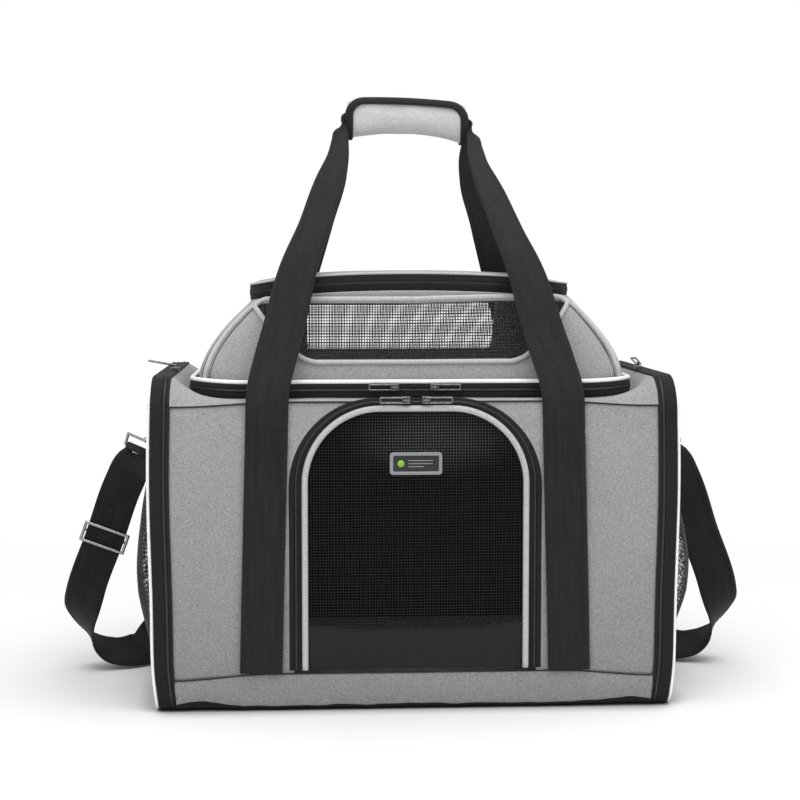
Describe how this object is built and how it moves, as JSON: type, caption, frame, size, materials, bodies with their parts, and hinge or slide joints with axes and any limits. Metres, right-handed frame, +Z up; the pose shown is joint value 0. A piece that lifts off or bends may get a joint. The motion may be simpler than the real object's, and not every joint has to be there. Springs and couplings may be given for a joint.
{
  "type": "pet transport carrier",
  "caption": "Soft-sided pet carrier with an arched mesh door, raised mesh hood with zipped lid, twin webbing handles joined by a padded grip, and a shoulder strap.",
  "frame": {"origin": "centre of the footprint, on the plane the base rests on", "axes": "+X to the right seen from the door, -Y out of the door side, +Z up"},
  "size_m": [0.6758, 0.3222, 0.565],
  "materials": {
    "grey_fabric": "melange woven polyester",
    "black_fabric": "plain woven polyester",
    "black_mesh": "open square net",
    "zip_tape": "zip tape with nylon coil",
    "white_piping": "smooth corded edge",
    "grey_piping": "corded edge",
    "webbing": "ribbed polyester webbing",
    "gunmetal": "dark nickel plate",
    "badge_frame": "satin moulded rubber",
    "badge_plate": "satin",
    "board": "stiff board",
    "mat_fleece": "plush",
    "spring_wire": "drawn wire"
  },
  "bodies": {
    "carrier": {"base_cover": "grey_fabric", "base_board": "board", "floor_mat": "mat_fleece", "front_panel": "grey_fabric", "rear_panel": "grey_fabric", "top_panel": "grey_fabric", "end_zip_left": "zip_tape", "end_zip_right": "zip_tape", "end_panel_left": "black_fabric", "end_panel_right": "black_fabric", "end_piping": "white_piping", "end_frame_rods": "spring_wire", "end_pockets": "black_mesh", "door_zip_tape": "zip_tape", "hood_zip_band": "zip_tape", "hood_base_piping": "white_piping", "hood_front_panel": "grey_fabric", "hood_rear_panel": "grey_fabric", "hood_windows": "black_mesh", "hood_gussets": "grey_fabric", "hood_piping": "grey_piping", "strap_sewn_front": "webbing", "strap_sewn_rear": "webbing", "ring_tabs": "webbing", "d_rings": "gunmetal"},
    "door": {"door_mesh": "black_mesh", "door_piping": "grey_piping", "door_zip_edge": "zip_tape", "door_lower_band": "black_fabric", "badge_frame": "badge_frame", "badge_plate": "badge_plate"},
    "hood_top": {"hood_top_ring": "grey_fabric", "lid_zip_tape": "zip_tape"},
    "lid": {"lid_panel": "grey_fabric", "lid_zip_edge": "zip_tape"},
    "handle_front": {"handle_webbing_front": "webbing", "grip_front": "grey_fabric", "grip_binding_front": "black_fabric"},
    "handle_rear": {"handle_webbing_rear": "webbing", "grip_rear": "grey_fabric", "grip_binding_rear": "black_fabric"},
    "shoulder_strap": {"shoulder_strap": "webbing", "snap_hooks": "gunmetal"},
    "strap_adjuster": {"strap_adjuster": "gunmetal"},
    "door_zip_slider_left": {"door_zip_slider_left": "gunmetal"},
    "door_zip_pull_left": {"door_zip_pull_left": "gunmetal"},
    "door_zip_slider_right": {"door_zip_slider_right": "gunmetal"},
    "door_zip_pull_right": {"door_zip_pull_right": "gunmetal"},
    "hood_zip_slider_left": {"hood_zip_slider_left": "gunmetal"},
    "hood_zip_pull_left": {"hood_zip_pull_left": "gunmetal"},
    "hood_zip_slider_right": {"hood_zip_slider_right": "gunmetal"},
    "hood_zip_pull_right": {"hood_zip_pull_right": "gunmetal"},
    "end_zip_slider_left": {"end_zip_slider_left": "gunmetal"},
    "end_zip_pull_left": {"end_zip_pull_left": "gunmetal"},
    "end_zip_slider_right": {"end_zip_slider_right": "gunmetal"},
    "end_zip_pull_right": {"end_zip_pull_right": "gunmetal"},
    "lid_zip_slider": {"lid_zip_slider": "gunmetal"},
    "lid_zip_pull": {"lid_zip_pull": "gunmetal"}
  },
  "joints": [
    {"name": "door_open", "type": "hinge", "parent": "carrier", "child": "door", "pos_m": [0, -0.146, 0.04], "axis": [-1, 0, 0], "range_deg": [-98, 0]},
    {"name": "hood_collapse", "type": "slide", "parent": "carrier", "child": "hood_top", "axis": [0, 0, 1], "range_m": [-0.06, 0], "stiffness_N_per_m": 40, "springref_m": 0.03, "deforming": ["hood_front_panel", "hood_rear_panel", "hood_windows", "hood_gussets", "hood_piping"]},
    {"name": "lid_open", "type": "hinge", "parent": "hood_top", "child": "lid", "pos_m": [0, 0.0786, 0.3882], "axis": [-1, 0, 0], "range_deg": [0, 150]},
    {"name": "handle_front_fall", "type": "hinge", "parent": "carrier", "child": "handle_front", "pos_m": [0, -0.1465, 0.252], "axis": [1, 0, 0], "range_deg": [0, 150]},
    {"name": "handle_rear_fall", "type": "hinge", "parent": "carrier", "child": "handle_rear", "pos_m": [0, 0.1465, 0.252], "axis": [-1, 0, 0], "range_deg": [0, 150]},
    {"name": "shoulder_strap_swing", "type": "hinge", "parent": "carrier", "child": "shoulder_strap", "pos_m": [0, 0, 0.253], "axis": [-1, 0, 0], "range_deg": [-45, 0]},
    {"name": "adjuster_slide", "type": "slide", "parent": "shoulder_strap", "child": "strap_adjuster", "axis": [-0.3447, 0.1009, -0.9333], "range_m": [-0.03, 0.03], "stiffness_N_per_m": 40},
    {"name": "zip_door_left", "type": "slide", "parent": "carrier", "child": "door_zip_slider_left", "axis": [-1, 0, 0], "range_m": [0, 0.022]},
    {"name": "zip_door_left_pull", "type": "hinge", "parent": "door_zip_slider_left", "child": "door_zip_pull_left", "pos_m": [-0.009, -0.1522, 0.2804], "axis": [0, 0, 1], "range_deg": [0, 90]},
    {"name": "zip_door_right", "type": "slide", "parent": "carrier", "child": "door_zip_slider_right", "axis": [1, 0, 0], "range_m": [0, 0.022]},
    {"name": "zip_door_right_pull", "type": "hinge", "parent": "door_zip_slider_right", "child": "door_zip_pull_right", "pos_m": [0.009, -0.1522, 0.2804], "axis": [0, 0, -1], "range_deg": [0, 90]},
    {"name": "zip_hood_left", "type": "slide", "parent": "carrier", "child": "hood_zip_slider_left", "axis": [-1, 0, 0], "range_m": [0, 0.065]},
    {"name": "zip_hood_left_pull", "type": "hinge", "parent": "hood_zip_slider_left", "child": "hood_zip_pull_left", "pos_m": [-0.018, -0.131, 0.2905], "axis": [0, 0, 1], "range_deg": [0, 90]},
    {"name": "zip_hood_right", "type": "slide", "parent": "carrier", "child": "hood_zip_slider_right", "axis": [1, 0, 0], "range_m": [0, 0.065]},
    {"name": "zip_hood_right_pull", "type": "hinge", "parent": "hood_zip_slider_right", "child": "hood_zip_pull_right", "pos_m": [0.018, -0.131, 0.2905], "axis": [0, 0, -1], "range_deg": [0, 90]},
    {"name": "zip_end_left", "type": "slide", "parent": "carrier", "child": "end_zip_slider_left", "axis": [0, 1, 0], "range_m": [-0.06, 0.14]},
    {"name": "zip_end_left_pull", "type": "hinge", "parent": "end_zip_slider_left", "child": "end_zip_pull_left", "pos_m": [-0.221, -0.04, 0.3062], "axis": [0, 1, 0], "range_deg": [0, 140]},
    {"name": "zip_end_right", "type": "slide", "parent": "carrier", "child": "end_zip_slider_right", "axis": [0, 1, 0], "range_m": [-0.06, 0.12]},
    {"name": "zip_end_right_pull", "type": "hinge", "parent": "end_zip_slider_right", "child": "end_zip_pull_right", "pos_m": [0.221, -0.04, 0.3062], "axis": [1, 0, 0], "range_deg": [0, 150]},
    {"name": "zip_lid", "type": "slide", "parent": "hood_top", "child": "lid_zip_slider", "axis": [0, -1, 0], "range_m": [0, 0.065]},
    {"name": "zip_lid_pull", "type": "hinge", "parent": "lid_zip_slider", "child": "lid_zip_pull", "pos_m": [0.1533, 0.03, 0.375], "axis": [0, 0, -1], "range_deg": [0, 90]}
  ],
  "couplings": [
    {"joint": "handle_front_fall", "follows": "lid_open", "ratio": 1},
    {"joint": "handle_rear_fall", "follows": "lid_open", "ratio": 1}
  ]
}
